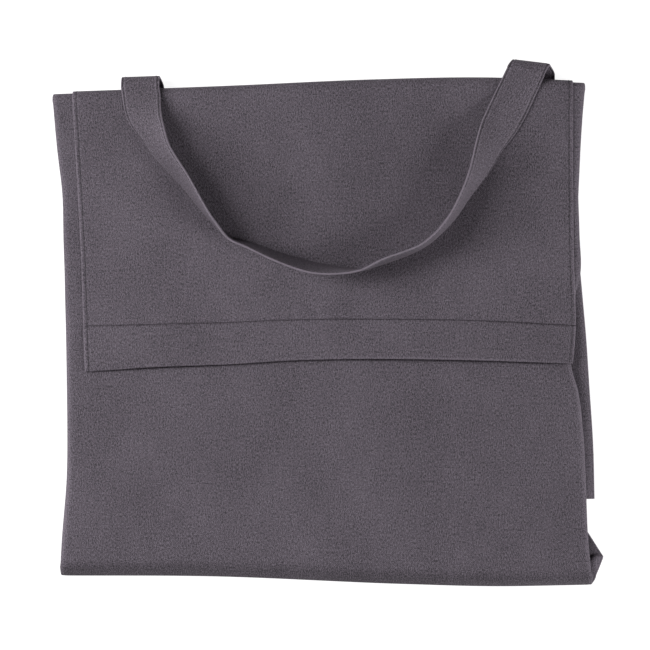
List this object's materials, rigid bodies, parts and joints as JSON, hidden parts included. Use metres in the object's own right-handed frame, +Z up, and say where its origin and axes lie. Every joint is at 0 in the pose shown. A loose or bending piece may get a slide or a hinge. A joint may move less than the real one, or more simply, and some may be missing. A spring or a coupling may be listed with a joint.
{
  "type": "kitchen apron",
  "caption": "Cotton twill kitchen apron with a bib, wide patch pocket, neck strap and waist ties, folded flat with the strap laid in a bend on the pocket.",
  "frame": {"origin": "on the surface that the folded apron lies on, under the middle of its box", "axes": "+Z up, +X across the folded apron, +Y along it from the waist fold to the fold that the strap comes over"},
  "size_m": [0.374, 0.3584, 0.0407],
  "materials": {
    "twill": "matt mauve-grey cotton twill",
    "strap_twill": "matt mauve-grey cotton twill, folded and edge-stitched"
  },
  "bodies": {
    "root": {"apron_body": "twill", "pocket": "twill", "neck_strap": "strap_twill", "waist_tie_left": "strap_twill", "waist_tie_right": "strap_twill"}
  },
  "joints": []
}
